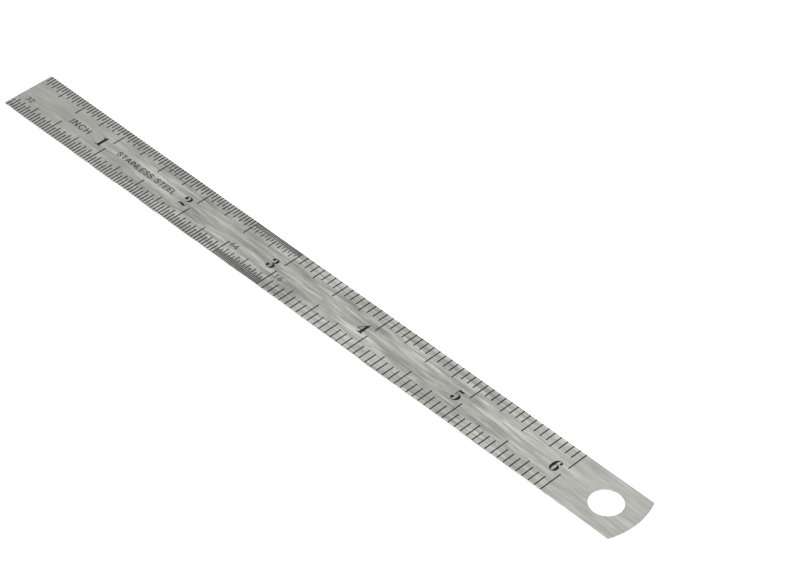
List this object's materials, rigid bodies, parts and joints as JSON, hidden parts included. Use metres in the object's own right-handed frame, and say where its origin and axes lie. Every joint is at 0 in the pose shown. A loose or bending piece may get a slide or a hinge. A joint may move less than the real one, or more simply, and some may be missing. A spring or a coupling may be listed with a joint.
{
  "type": "steel ruler",
  "caption": "Narrow flexible steel rule, square at the zero end and rounded at the other with a hanging hole, etched in inches on one face and millimetres on the other.",
  "frame": {"origin": "middle of the metric face, the face that lies on the bench, midway along the blade and midway across it", "axes": "+X along the blade from the zero end to the hanging hole, +Y across the blade to the edge above the inch figures, +Z out of the inch face"},
  "size_m": [0.1704, 0.013, 0.0005],
  "materials": {
    "satin_steel": "satin, brushed lengthwise",
    "black_ink": "baked black filling in the etched marks"
  },
  "bodies": {
    "root": {"blade": "satin_steel", "front_lower_edge_graduations": "black_ink", "front_upper_edge_graduations": "black_ink", "front_inch_figures": "black_ink", "front_division_labels": "black_ink", "front_unit_label": "black_ink", "front_material_label": "black_ink", "back_lower_edge_graduations": "black_ink", "back_upper_edge_graduations": "black_ink", "back_centimetre_figures": "black_ink", "back_unit_label": "black_ink"}
  },
  "joints": []
}
